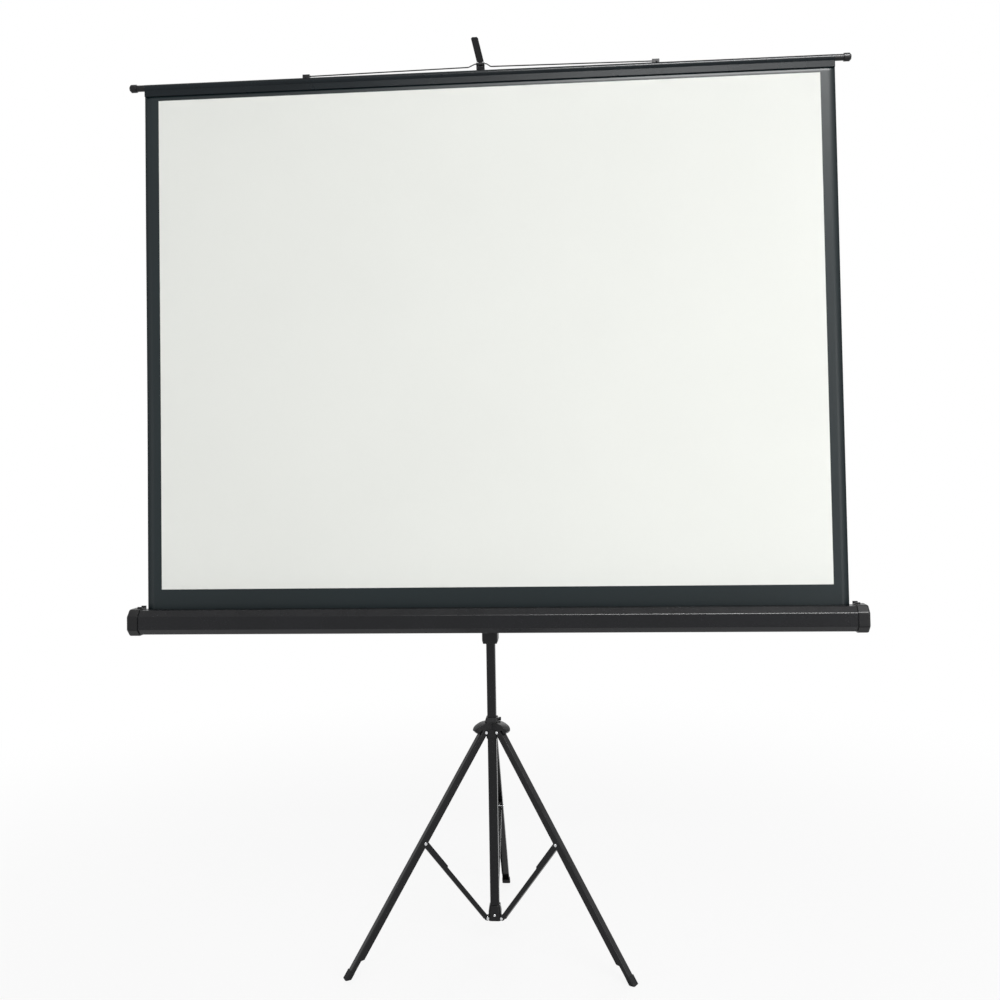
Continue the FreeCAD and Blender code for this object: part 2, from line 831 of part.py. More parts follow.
def make_roller_plug(side):
    """A plug in one end of the roller, bored for its shaft."""
    x = case_shift + side * (case_length / 2 - roller_end_gap)
    start = V(x, roller_y, case_z)
    inward = V(-side, 0, 0)
    plug = rod(start, inward, roller_radius - roller_wall, plug_length)
    return plug.cut(rod(start, inward, arbor_radius + running_clearance, plug_length))


def make_shaft(side, length):
    """A fixed shaft that reaches from an end cap into the roller."""
    end_x, out = cap_frame(side)
    return rod(V(end_x, roller_y, case_z), -out, arbor_radius, length)


def make_spring():
    """The envelope of the winding spring, on the fixed arbor inside the roller."""
    x = case_shift - case_length / 2 + roller_end_gap + plug_length + slip_clearance
    return pipe(V(x, roller_y, case_z), X_AXIS, spring_radius, spring_radius - arbor_radius, spring_length)


# Carriage, pivot and handle

def make_carriage():
    """The sleeve that slides on the mast and carries the case's pivot bolt."""
    depth = carriage_back_y - carriage_front_y
    top = carriage_bottom_z + carriage_height
    body = bar(carriage_width, depth, carriage_corner, carriage_bottom_z + carriage_taper, top)
    less = carriage_taper / 2
    low = rounded_wire(carriage_width - less, depth - less, carriage_corner, carriage_bottom_z)
    high = rounded_wire(carriage_width, depth, carriage_corner, carriage_bottom_z + carriage_taper)
    carriage = fuse([body, Part.makeLoft([low, high], True, True)])
    carriage.translate(V(0, (carriage_back_y + carriage_front_y) / 2, 0))
    bore = mast_size + 2 * slip_clearance
    carriage = carriage.cut(bar(bore, bore, mast_corner + slip_clearance, carriage_bottom_z, top))
    carriage = carriage.cut(rod(V(0, carriage_front_y, case_z), Y_AXIS, bolt_radius, bolt_depth))
    return carriage.cut(button_pocket())


def button_pocket():
    """The pocket for the release button, in the carriage's top."""
    half = button_width / 2 + slip_clearance
    top = carriage_bottom_z + carriage_height
    bottom = top - button_height
    x = -carriage_width / 2 + half + carriage_corner / 2
    y = -mast_half - carriage_front / 2
    deep = button_depth / 2 + slip_clearance
    return block(x - half, x + half, y - deep, y + deep, bottom, top)


def make_button():
    """The push button that frees the carriage."""
    pocket = button_pocket().BoundBox
    gap = slip_clearance
    top = carriage_bottom_z + carriage_height
    bottom = top - button_height + button_proud
    x_low, x_high = pocket.XMin + gap, pocket.XMax - gap
    return block(x_low, x_high, pocket.YMin + gap, pocket.YMax - gap, bottom, top + button_proud)


def make_bolt():
    """The pivot bolt, with its head inside the case's bracket."""
    shank = bolt_depth + washer_thickness + 2 * running_clearance + bracket_wall + running_clearance
    start = V(0, carriage_front_y + bolt_depth, case_z)
    head = rod(V(0, start.y - shank, case_z), -Y_AXIS, bolt_head_radius, bolt_head_height)
    return fuse([rod(start, -Y_AXIS, bolt_radius, shank), head])


def make_washer():
    """The friction washer between the carriage and the bracket."""
    start = V(0, carriage_front_y, case_z)
    return pipe(start, -Y_AXIS, washer_radius, washer_radius - bolt_radius, washer_thickness)


def make_bracket():
    """The pressed bracket on the case's back, that turns on the pivot bolt."""
    half, rise = bracket_width / 2, bracket_height / 2
    body = block(-half, half, case_back_y, bracket_front_y, case_z - rise, case_z + rise)
    wall = bracket_wall
    pocket = block(
        -half + 3 * wall, half - 3 * wall, case_back_y, bracket_front_y - wall,
        case_z - rise + wall, case_z + rise - wall,
    )
    hole = rod(V(0, case_back_y, case_z), Y_AXIS, bolt_radius + running_clearance, case_depth)
    return body.cut(pocket).cut(hole).cut(make_bracket_screws())


def make_bracket_screws():
    """Four screw heads at the bracket's corners."""
    x = bracket_width / 2 - bracket_screw_inset
    z = bracket_height / 2 - bracket_screw_inset
    y = bracket_front_y + bracket_screw_proud
    return group([
        rod(V(a * x, y, case_z + b * z), -Y_AXIS, bracket_screw_radius, bracket_screw_height)
        for a in (-1, 1)
        for b in (-1, 1)
    ])


def handle_box():
    """The carry handle's outer box."""
    half = handle_width / 2
    middle = carriage_bottom_z + carriage_height / 2
    low, high = middle - handle_height / 2, middle + handle_height / 2
    return -half, half, carriage_back_y, carriage_back_y + handle_reach, low, high


def make_handle():
    """The D-shaped carry handle on the carriage's back."""
    x_low, x_high, y_low, y_high, z_low, z_high = handle_box()
    cut = handle_corner

    def loop(inset):
        y, low, high = y_high - inset, z_low + inset, z_high - inset
        return [
            V(x_low, y_low, low),
            V(x_low, y - cut, low),
            V(x_low, y, low + cut),
            V(x_low, y, high - cut),
            V(x_low, y - cut, high),
            V(x_low, y_low, high),
        ]

    across = V(x_high - x_low, 0, 0)
    return prism(loop(0), across).cut(prism(loop(handle_bar), across))


# Slat, bail and fabric

def make_fabric():
    """The drawn sheet, from the roller up into the slat."""
    half = fabric_thickness / 2
    low, high = case_shift - fabric_half, case_shift + fabric_half
    return block(low, high, fabric_y - half, fabric_y + half, case_z, slat_bottom_z + fabric_tuck)


def make_slat():
    """The stiff top rail: a hollow bead over a blade that grips the fabric."""
    low = case_shift - fabric_half
    length = 2 * fabric_half
    half = slat_blade / 2
    bead = rod(V(low, fabric_y, bead_z), X_AXIS, slat_bead_radius, length)
    blade = block(low, low + length, fabric_y - half, fabric_y + half, slat_bottom_z, bead_z)
    slot = slat_slot / 2
    slot_top = slat_bottom_z + fabric_tuck + slat_slot
    cut = block(low, low + length, fabric_y - slot, fabric_y + slot, slat_bottom_z, slot_top)
    bore = rod(V(low, fabric_y, bead_z), X_AXIS, slat_bore_radius, length)
    return fuse([bead, blade]).cut(bore).cut(cut)


def make_slat_end(side):
    """The turned plug and knob at one end of the slat."""
    out = V(side, 0, 0)
    start = V(case_shift + side * fabric_half, fabric_y, bead_z)
    spigot = rod(start - out * end_spigot, out, slat_bore_radius, end_spigot)
    neck = rod(start, out, slat_bead_radius - slip_clearance, end_rod_length)
    face = start + out * end_rod_length
    straight = end_knob_length - end_knob_round
    knob = rod(face, out, end_knob_radius, straight)
    tip_radius = end_knob_radius - end_knob_round
    cap = Part.makeCone(end_knob_radius, tip_radius, end_knob_round, face + out * straight, out)
    return fuse([spigot, neck, knob, cap])


def bail_points():
    """The bail's route in its own plane, as x and the distance from its hinge line."""
    end = bail_span / 2
    top = math.hypot(bail_seat().y - fabric_y, bail_seat().z - hinge_z)
    half = [(end + bail_axle, 0), (end - bail_axle, 0), (bail_shoulder, bail_rise), (bail_hump_half, top)]
    return half + [(-x, away) for x, away in reversed(half)]


def bail_seat():
    """The centre of the wire where it bears on the back of the knuckle, behind the arm."""
    pin = V(0, hook_pin_y, hook_pin_z)
    pull = (pin - V(0, fabric_y, hinge_z)).normalize()
    return pin + pull * (hook_knuckle_radius + bail_wire_radius + slip_clearance)


def make_bail():
    """The wire loop that hangs the slat on the hook."""
    seat = bail_seat()
    back = V(0, seat.y - fabric_y, seat.z - hinge_z).normalize()
    hinge = V(0, fabric_y, hinge_z)
    points = [hinge + X_AXIS * x + back * away for x, away in bail_points()]
    return wire_along(round_path(points, bail_bend), bail_wire_radius)


def make_clip(side):
    """A saddle on the slat that holds one end of the bail, bored for the wire."""
    x = side * bail_span / 2
    half, deep = clip_width / 2, clip_depth / 2
    clip = block(x - half, x + half, fabric_y - deep, fabric_y + deep, bead_z, slat_top_z + clip_height)
    clip = clip.cut(rod(V(x - half, fabric_y, bead_z), X_AXIS, slat_bead_radius, clip_width))
    bore = bail_wire_radius + running_clearance
    clip = clip.cut(rod(V(x - half, fabric_y, hinge_z), X_AXIS, bore, clip_width))
    mouth = x - side * half
    near, far = sorted((mouth, x - side * clip_mouth()))
    top = slat_top_z + clip_height
    return clip.cut(block(near, far, fabric_y - deep, fabric_y + deep, hinge_z - clip_height, top))


def clip_mouth():
    """How far from the clip's middle its cheek ends, where the wire comes out."""
    return 2 * bail_wire_radius


def make_clip_screws(side):
    """The screw head on one clip's front."""
    x = side * (bail_span / 2 + clip_width / 2 - clip_screw_inset)
    start = V(x, fabric_y - clip_depth / 2, slat_top_z)
    return rod(start, -Y_AXIS, clip_screw_radius, clip_screw_height)


# All pieces

def make_parts():
    """Every piece by its node's name, about the mast's axis."""
    leg, foot, brace = make_leg(), make_foot(), make_brace()
    pins = group([cross_pin(0, z, leg_width / 2) for z in (0, -brace_along_leg)])
    floor = block(-leg_length, leg_length, -leg_length, leg_length, -leg_length, 0)
    parts = {
        "mast_tube": make_mast(),
        "lower_hub": make_hub(),
        "hub_pins": group([make_hub_pin(turn) for turn in leg_turns.values()]),
        "hub_screws": group(make_hub_screws()),
        "mast_bush": make_bush(),
        "lock_lever_pin": make_lever_pin(),
        "lock_lever": make_lever(),
        "crown": make_crown(),
        "crown_knob": make_crown_knob(),
    }
    for name, turn in leg_turns.items():
        parts["leg_" + name] = set_leg(leg, turn)
        parts["leg_pins_" + name] = set_leg(pins, turn)
        parts["foot_" + name] = set_leg(foot, turn).cut(floor)
        parts["brace_" + name] = set_brace(brace, turn)
    parts.update({
        "extension_tube": make_extension(),
        "extension_glide": make_glide(),
        "hook_bracket": make_hook_bracket(),
        "hook_pin": make_hook_pin(),
        "hook_arm": make_arm(),
        "carriage": make_carriage(),
        "carry_handle": make_handle(),
        "release_button": make_button(),
        "pivot_bolt": make_bolt(),
        "pivot_washer": make_washer(),
        "case_bracket": make_bracket(),
        "bracket_screws": make_bracket_screws(),
        "case_shell": make_case_shell(),
        "end_cap_left": make_cap(-1),
        "end_cap_right": make_cap(1),
        "cap_screws": group(make_cap_screws(-1) + make_cap_screws(1)),
        "spring_arbor": make_shaft(-1, arbor_length),
        "idle_shaft": make_shaft(1, roller_end_gap + plug_length),
        "roller_tube": make_roller(),
        "roller_plug_left": make_roller_plug(-1),
        "roller_plug_right": make_roller_plug(1),
        "roller_spring": make_spring(),
        "fabric_wraps": make_wraps(),
        "screen_fabric": make_fabric(),
        "slat": make_slat(),
        "slat_end_left": make_slat_end(-1),
        "slat_end_right": make_slat_end(1),
        "bail_clips": group([make_clip(-1), make_clip(1)]),
        "clip_screws": group([make_clip_screws(-1), make_clip_screws(1)]),
        "bail_wire": make_bail(),
    })
    return parts


def floor_middle(parts):
    """How far the middle of the feet lies from the mast, along Y."""
    boxes = [parts["foot_" + name].optimalBoundingBox() for name in leg_turns]
    return (min(b.YMin for b in boxes) + max(b.YMax for b in boxes)) / 2


pieces = make_parts()
origin_shift = V(0, -floor_middle(pieces), 0)
os.makedirs("parts", exist_ok=True)
for node, shape in pieces.items():
    shape.translate(origin_shift)
    shape.exportStep("parts/" + node + ".step")
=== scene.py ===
"""Looks of a pull-up projection screen that stands on a folding tripod."""

import logging
import math
from dataclasses import dataclass
from enum import Enum

import bpy
from mathutils import Matrix, Vector


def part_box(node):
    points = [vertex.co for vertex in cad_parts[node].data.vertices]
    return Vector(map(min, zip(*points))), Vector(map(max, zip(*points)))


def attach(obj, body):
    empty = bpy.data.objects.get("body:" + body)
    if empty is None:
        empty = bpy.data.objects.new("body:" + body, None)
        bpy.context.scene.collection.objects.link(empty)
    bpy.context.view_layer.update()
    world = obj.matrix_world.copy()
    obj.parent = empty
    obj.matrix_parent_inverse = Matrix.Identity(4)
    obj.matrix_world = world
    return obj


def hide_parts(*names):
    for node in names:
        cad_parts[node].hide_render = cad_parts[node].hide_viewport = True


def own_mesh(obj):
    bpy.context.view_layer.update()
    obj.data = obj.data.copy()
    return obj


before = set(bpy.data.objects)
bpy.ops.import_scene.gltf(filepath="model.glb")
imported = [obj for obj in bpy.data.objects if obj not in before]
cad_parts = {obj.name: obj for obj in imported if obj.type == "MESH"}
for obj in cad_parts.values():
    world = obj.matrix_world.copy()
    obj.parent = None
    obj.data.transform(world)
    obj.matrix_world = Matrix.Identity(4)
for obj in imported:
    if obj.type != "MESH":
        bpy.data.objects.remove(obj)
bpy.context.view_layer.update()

logging.basicConfig(level=logging.INFO, format="%(levelname)s %(message)s")
LOG = logging.getLogger("screen")

Colour = tuple[float, float, float]
Point = tuple[float, float, float]

# A colour Mix node keeps its factor and its two colours in these inputs.
MIX_INPUTS: tuple[int, int, int] = (0, 6, 7)
MIX_OUTPUT: int = 2


class Finish(Enum):
    """The finishes that the rigid pieces come in."""

    TUBE = "tube_coat"
    CASE = "case_coat"
    RAIL = "rail_coat"
    MOULDED = "moulded_black"
    STEEL = "plated_steel"
    WIRE = "dark_wire"
    RUBBER = "foot_rubber"
    CORE = "roller_core"


RIGID_NODES: dict[Finish, tuple[str, ...]] = {
    Finish.TUBE: (
        "mast_tube", "leg_left", "leg_right", "leg_rear", "brace_left", "brace_right", "brace_rear",
        "hook_bracket", "hook_arm", "case_bracket", "lock_lever",
    ),
    Finish.CASE: ("case_shell",),
    Finish.RAIL: ("slat",),
    Finish.MOULDED: (
        "lower_hub", "crown", "crown_knob", "mast_bush", "extension_glide", "carriage", "carry_handle",
        "release_button", "end_cap_left", "end_cap_right", "slat_end_left", "slat_end_right", "bail_clips",
        "roller_plug_left", "roller_plug_right",
    ),
    Finish.STEEL: (
        "hub_pins", "leg_pins_left", "leg_pins_right", "leg_pins_rear", "lock_lever_pin", "hook_pin",
        "pivot_bolt", "pivot_washer", "extension_tube", "spring_arbor", "idle_shaft", "roller_spring",
    ),
    Finish.WIRE: ("bail_wire",),
    Finish.RUBBER: ("foot_left", "foot_right", "foot_rear"),
    Finish.CORE: ("roller_tube",),
}


class Tree:
    """A node tree that is filled by short calls."""

    def __init__(self, tree: bpy.types.NodeTree) -> None:
        """Keeps the tree.

        Args:
            tree: the shader or geometry tree to fill.
        """
        self.tree = tree

    def node(self, kind: str, **settings: object) -> bpy.types.Node:
        """Adds a node and sets its properties.

        Args:
            kind: the node's type name.
            settings: properties of the node.

        Returns:
            The new node.
        """
        made = self.tree.nodes.new(kind)
        for name, value in settings.items():
            setattr(made, name, value)
        return made

    def link(self, source: bpy.types.NodeSocket, target: bpy.types.NodeSocket) -> None:
        """Joins an output to an input.

        Args:
            source: the output.
            target: the input.
        """
        self.tree.links.new(source, target)

    def math(self, operation: str, first: object, second: object = 0.0) -> bpy.types.NodeSocket:
        """Adds a Math node.

        Args:
            operation: the node's operation.
            first: a socket or a number.
            second: a socket or a number.

        Returns:
            The node's output.
        """
        made = self.node("ShaderNodeMath", operation=operation)
        for slot, value in zip(made.inputs, (first, second)):
            if isinstance(value, bpy.types.NodeSocket):
                self.link(value, slot)
            else:
                slot.default_value = float(value)
        return made.outputs[0]

    def ramp(self, value: bpy.types.NodeSocket, low: float, high: float) -> bpy.types.NodeSocket:
        """Turns a value into a smooth 0 to 1 step.

        Args:
            value: the value to read.
            low: where the step starts.
            high: where the step ends.

        Returns:
            The step's output.
        """
        made = self.node("ShaderNodeMapRange", interpolation_type="SMOOTHSTEP")
        self.link(value, made.inputs["Value"])
        made.inputs["From Min"].default_value = low
        made.inputs["From Max"].default_value = high
        return made.outputs["Result"]

    def mix(self, factor: object, first: object, second: object) -> bpy.types.NodeSocket:
        """Mixes two colours.

        Args:
            factor: a socket or a number.
            first: a socket or a colour.
            second: a socket or a colour.

        Returns:
            The mixed colour.
        """
        made = self.node("ShaderNodeMix", data_type="RGBA")
        for index, value in zip(MIX_INPUTS, (factor, first, second)):
            slot = made.inputs[index]
            if isinstance(value, bpy.types.NodeSocket):
                self.link(value, slot)
            elif isinstance(value, tuple):
                slot.default_value = (*value, 1.0)
            else:
                slot.default_value = float(value)
        return made.outputs[MIX_OUTPUT]


def new_material(name: str) -> tuple[bpy.types.Material, Tree]:
    """Makes a material with an empty tree.

    Args:
        name: the material's name.

    Returns:
        The material and its tree.
    """
    material = bpy.data.materials.new(name)
    material.use_nodes = True
    material.node_tree.nodes.clear()
    return material, Tree(material.node_tree)


class SharedEffects:
    """Shader groups that several finishes use."""

    bevel_samples: int = 4
    fine_detail: float = 3.0
    slow_detail: float = 4.0
    edge_bend: tuple[float, float] = (0.02, 0.3)
    patch_scale: float = 55.0
    patch_detail: float = 5.0
    patch_step: tuple[float, float] = (0.42, 0.66)
    dust_slope: tuple[float, float] = (0.3, 1.0)
    dust_scale: float = 28.0
    dust_detail: float = 6.0
    dust_step: tuple[float, float] = (0.3, 0.8)

    def __init__(self) -> None:
        """Builds every group once."""
        self.grain = self._grain()
        self.wear = self._wear()
        self.dust = self._dust()

    @staticmethod
    def _group(
        name: str, inputs: dict[str, object], outputs: dict[str, str]
    ) -> tuple[Tree, bpy.types.Node, bpy.types.Node]:
        """Starts a shader group.

        Args:
            name: the group's name.
            inputs: each input's name with its default, a number, a colour or None for a vector.
            outputs: each output's name with its socket type.

        Returns:
            The tree, its input node and its output node.
        """
        group = bpy.data.node_groups.new(name, "ShaderNodeTree")
        for label, value in inputs.items():
            kind = "NodeSocketFloat"
            if value is None:
                kind = "NodeSocketVector"
            elif isinstance(value, tuple):
                kind = "NodeSocketColor"
            made = group.interface.new_socket(label, in_out="INPUT", socket_type=kind)
            if isinstance(value, tuple):
                made.default_value = (*value, 1.0)
            elif value is not None:
                made.default_value = float(value)
        for label, kind in outputs.items():
            group.interface.new_socket(label, in_out="OUTPUT", socket_type=kind)
        tree = Tree(group)
        return tree, tree.node("NodeGroupInput"), tree.node("NodeGroupOutput")

    def _grain(self) -> bpy.types.NodeTree:
        """A fine pebbled surface with a slow drift in its gloss.

        Returns:
            The group.
        """
        tree, source, result = self._group(
            "surface_grain",
            {"Vector": None, "Scale": 900.0, "Drift": 6.0},
            {"Height": "NodeSocketFloat", "Drift": "NodeSocketFloat"},
        )
        fine = tree.node("ShaderNodeTexNoise")
        fine.inputs["Detail"].default_value = self.fine_detail
        slow = tree.node("ShaderNodeTexNoise")
        slow.inputs["Detail"].default_value = self.slow_detail
        for texture, label in ((fine, "Scale"), (slow, "Drift")):
            tree.link(source.outputs["Vector"], texture.inputs["Vector"])
            tree.link(source.outputs[label], texture.inputs["Scale"])
        tree.link(fine.outputs[0], result.inputs["Height"])
        tree.link(slow.outputs[0], result.inputs["Drift"])
        return tree.tree

    def _wear(self) -> bpy.types.NodeTree:
        """Paint rubbed thin along edges, and the edges' small rounding.

        Returns:
            The group.
        """
        tree, source, result = self._group(
            "edge_wear",
            {"Vector": None, "Reach": 0.0012, "Amount": 0.5},
            {"Mask": "NodeSocketFloat", "Normal": "NodeSocketVector"},
        )
        bevel = tree.node("ShaderNodeBevel", samples=self.bevel_samples)
        tree.link(source.outputs["Reach"], bevel.inputs["Radius"])
        shape = tree.node("ShaderNodeNewGeometry")
        dot = tree.node("ShaderNodeVectorMath", operation="DOT_PRODUCT")
        tree.link(bevel.outputs[0], dot.inputs[0])
        tree.link(shape.outputs["Normal"], dot.inputs[1])
        bend = tree.ramp(tree.math("SUBTRACT", 1.0, dot.outputs["Value"]), *self.edge_bend)
        patches = tree.node("ShaderNodeTexNoise")
        patches.inputs["Scale"].default_value = self.patch_scale
        patches.inputs["Detail"].default_value = self.patch_detail
        tree.link(source.outputs["Vector"], patches.inputs["Vector"])
        rubbed = tree.math("MULTIPLY", bend, tree.ramp(patches.outputs[0], *self.patch_step))
        tree.link(tree.math("MULTIPLY", rubbed, source.outputs["Amount"]), result.inputs["Mask"])
        tree.link(bevel.outputs[0], result.inputs["Normal"])
        return tree.tree

    def _dust(self) -> bpy.types.NodeTree:
        """Thin dust that lies on faces that look up.

        Returns:
            The group.
        """
        tree, source, result = self._group(
            "settled_dust", {"Vector": None, "Amount": 0.1}, {"Mask": "NodeSocketFloat"}
        )
        shape = tree.node("ShaderNodeNewGeometry")
        parts = tree.node("ShaderNodeSeparateXYZ")
        tree.link(shape.outputs["Normal"], parts.inputs[0])
        cloud = tree.node("ShaderNodeTexNoise")
        cloud.inputs["Scale"].default_value = self.dust_scale
        cloud.inputs["Detail"].default_value = self.dust_detail
        tree.link(source.outputs["Vector"], cloud.inputs["Vector"])
        upward = tree.ramp(parts.outputs["Z"], *self.dust_slope)
        lying = tree.math("MULTIPLY", upward, tree.ramp(cloud.outputs[0], *self.dust_step))
        tree.link(tree.math("MULTIPLY", lying, source.outputs["Amount"]), result.inputs["Mask"])
        return tree.tree


@dataclass(frozen=True)
class Surface:
    """One rigid finish: its colour, gloss, grain, wear and dust."""

    name: str
    colour: Colour
    worn: Colour
    roughness: float
    spread: float = 0.08
    metallic: float = 0.0
    grain_scale: float = 900.0
    grain_depth: float = 0.06
    grain_distance: float = 0.0002
    wear: float = 0.4
    wear_reach: float = 0.0012
    dust: float = 0.08
    dust_colour: Colour = (0.32, 0.32, 0.31)
    specular: float = 0.5
    deep_share: float = 0.82
    drift_step: tuple[float, float] = (0.35, 0.65)

    def build(self, effects: SharedEffects) -> bpy.types.Material:
        """Makes the material.

        Args:
            effects: the shared shader groups.

        Returns:
            The material.
        """
        material, tree = new_material(self.name)
        place = tree.node("ShaderNodeTexCoord").outputs["Object"]
        grain = tree.node("ShaderNodeGroup", node_tree=effects.grain)
        grain.inputs["Scale"].default_value = self.grain_scale
        wear = tree.node("ShaderNodeGroup", node_tree=effects.wear)
        wear.inputs["Amount"].default_value = self.wear
        wear.inputs["Reach"].default_value = self.wear_reach
        dust = tree.node("ShaderNodeGroup", node_tree=effects.dust)
        dust.inputs["Amount"].default_value = self.dust
        for group in (grain, wear, dust):
            tree.link(place, group.inputs["Vector"])
        drift = grain.outputs["Drift"]
        deep = tuple(channel * self.deep_share for channel in self.colour)
        colour = tree.mix(tree.ramp(drift, *self.drift_step), deep, self.colour)
        colour = tree.mix(wear.outputs["Mask"], colour, self.worn)
        colour = tree.mix(dust.outputs["Mask"], colour, self.dust_colour)
        rough = tree.math("MULTIPLY_ADD", drift, self.spread)
        rough.node.inputs[2].default_value = self.roughness - self.spread / 2
        bump = tree.node("ShaderNodeBump")
        bump.inputs["Strength"].default_value = self.grain_depth
        bump.inputs["Distance"].default_value = self.grain_distance
        tree.link(grain.outputs["Height"], bump.inputs["Height"])
        tree.link(wear.outputs["Normal"], bump.inputs["Normal"])
        shader = tree.node("ShaderNodeBsdfPrincipled")
        tree.link(colour, shader.inputs["Base Color"])
        tree.link(rough, shader.inputs["Roughness"])
        tree.link(bump.outputs[0], shader.inputs["Normal"])
        shader.inputs["Metallic"].default_value = self.metallic
        shader.inputs["Specular IOR Level"].default_value = self.specular
        tree.link(shader.outputs[0], tree.node("ShaderNodeOutputMaterial").inputs["Surface"])
        return material


SURFACES: dict[Finish, Surface] = {
    Finish.TUBE: Surface(
        "tube_coat", (0.0062, 0.0062, 0.0074), (0.05, 0.052, 0.056), 0.25,
        grain_scale=700.0, grain_depth=0.03, specular=0.22,
    ),
    Finish.CASE: Surface(
        "case_coat", (0.0062, 0.0066, 0.0084), (0.05, 0.054, 0.058), 0.25,
        grain_scale=500.0, grain_depth=0.03, dust=0.03, specular=0.24,
    ),
    Finish.RAIL: Surface(
        "rail_coat", (0.0024, 0.0064, 0.0092), (0.05, 0.056, 0.06), 0.27, grain_scale=600.0, grain_depth=0.04,
        dust=0.03, specular=0.2,
    ),
    Finish.MOULDED: Surface(
        "moulded_black", (0.0062, 0.0064, 0.0074), (0.026, 0.027, 0.029), 0.36, grain_scale=1100.0,
        grain_depth=0.12, specular=0.22,
    ),
    Finish.STEEL: Surface(
        "plated_steel", (0.62, 0.63, 0.64), (0.78, 0.78, 0.78), 0.3, metallic=1.0, grain_scale=1500.0,
        grain_depth=0.03, dust=0.03,
    ),
    Finish.WIRE: Surface(
        "dark_wire", (0.008, 0.009, 0.01), (0.1, 0.1, 0.1), 0.3, grain_scale=1500.0, dust=0.0, specular=0.2
    ),
    Finish.RUBBER: Surface(
        "foot_rubber", (0.0072, 0.0076, 0.0085), (0.03, 0.03, 0.03), 0.7, grain_scale=650.0, grain_depth=0.25,
        dust=0.1, specular=0.16,
    ),
    Finish.CORE: Surface("roller_core", (0.5, 0.5, 0.5), (0.7, 0.7, 0.7), 0.4, metallic=1.0, dust=0.05),
}

CLOTH_BACK = Surface("cloth_back", (0.02, 0.022, 0.023), (0.03, 0.03, 0.03), 0.7, wear=0.0, dust=0.0)


@dataclass(frozen=True)
class ScreenFinish:
    """The cloth's white face with its printed black borders."""

    white: Colour = (0.855, 0.87, 0.83)
    black: Colour = (0.0042, 0.0112, 0.0136)
    white_roughness: float = 0.92
    black_roughness: float = 0.42
    specular: float = 0.26
    thread: float = 0.0011
    thread_depth: float = 0.00008
    thread_strength: float = 0.12
    soft_edge: float = 0.0008
    cloud_scale: float = 2.2
    cloud_detail: float = 3.0
    cloud_step: tuple[float, float] = (0.3, 0.7)
    white_share: float = 0.985
    black_share: float = 0.85

    def build(self, cloth: "ScreenCloth") -> bpy.types.Material:
        """Makes the cloth's material, which reads the cloth's own map.

        Args:
            cloth: the cloth, for its sizes.

        Returns:
            The material.
        """
        material, tree = new_material("screen_face")
        parts = tree.node("ShaderNodeSeparateXYZ")
        tree.link(tree.node("ShaderNodeUVMap", uv_map=cloth.map_name).outputs[0], parts.inputs[0])
        across = tree.math("MULTIPLY", parts.outputs["X"], cloth.width)
        up = tree.math("MULTIPLY", parts.outputs["Y"], cloth.height)
        soft = self.soft_edge / 2
        low, high = cloth.picture_low, cloth.picture_low + cloth.picture_height
        side = (cloth.width - cloth.picture_width) / 2
        masks = [
            tree.ramp(across, side - soft, side + soft),
            tree.ramp(tree.math("SUBTRACT", cloth.width, across), side - soft, side + soft),
            tree.ramp(up, low - soft, low + soft),
            tree.ramp(tree.math("SUBTRACT", high, up), -soft, soft),
        ]
        picture = masks[0]
        for mask in masks[1:]:
            picture = tree.math("MULTIPLY", picture, mask)
        waves = [
            tree.math("SINE", tree.math("MULTIPLY", run, 2 * math.pi / self.thread)) for run in (across, up)
        ]
        weave = tree.math("MULTIPLY", waves[0], waves[1])
        cloud = tree.node("ShaderNodeTexNoise")
        cloud.inputs["Scale"].default_value = self.cloud_scale
        cloud.inputs["Detail"].default_value = self.cloud_detail
        tree.link(tree.node("ShaderNodeTexCoord").outputs["Object"], cloud.inputs["Vector"])
        shade = tree.ramp(cloud.outputs[0], *self.cloud_step)
        white = tree.mix(shade, tuple(channel * self.white_share for channel in self.white), self.white)
        black = tree.mix(shade, tuple(channel * self.black_share for channel in self.black), self.black)
        rough = tree.math("MULTIPLY_ADD", picture, self.white_roughness - self.black_roughness)
        rough.node.inputs[2].default_value = self.black_roughness
        bump = tree.node("ShaderNodeBump")
        bump.inputs["Strength"].default_value = self.thread_strength
        bump.inputs["Distance"].default_value = self.thread_depth
        tree.link(weave, bump.inputs["Height"])
        shader = tree.node("ShaderNodeBsdfPrincipled")
        tree.link(tree.mix(picture, black, white), shader.inputs["Base Color"])
        tree.link(rough, shader.inputs["Roughness"])
        tree.link(bump.outputs[0], shader.inputs["Normal"])
        shader.inputs["Specular IOR Level"].default_value = self.specular
        tree.link(shader.outputs[0], tree.node("ShaderNodeOutputMaterial").inputs["Surface"])
        return material


def add_mesh(name: str, points: list[Vector], faces: list[tuple[int, ...]]) -> bpy.types.Object:
    """Makes a mesh object at the origin.

    Args:
        name: the object's name.
        points: the mesh's points, in metres.
        faces: the faces' point numbers.

    Returns:
        The new object, linked to the scene.
    """
    mesh = bpy.data.meshes.new(name)
    mesh.from_pydata([tuple(point) for point in points], [], faces)
    mesh.update()
    made = bpy.data.objects.new(name, mesh)
    bpy.context.scene.collection.objects.link(made)
    return made


def grow(made: bpy.types.Object, tree: bpy.types.NodeTree, values: dict[str, object]) -> bpy.types.Object:
    """Runs a geometry tree on an object and keeps the result as a plain mesh.

    Args:
        made: the object that the tree starts from.
        tree: the geometry tree.
        values: the tree's inputs by name.

    Returns:
        The same object, with its new mesh and no modifier.
    """
    modifier = made.modifiers.new(tree.name, "NODES")
    modifier.node_group = tree
    for item in tree.interface.items_tree:
        if item.item_type == "SOCKET" and item.in_out == "INPUT" and item.name in values:
            modifier[item.identifier] = values[item.name]
    seen = made.evaluated_get(bpy.context.evaluated_depsgraph_get())
    mesh = bpy.data.meshes.new_from_object(seen)
    made.modifiers.clear()
    made.data = mesh
    return made


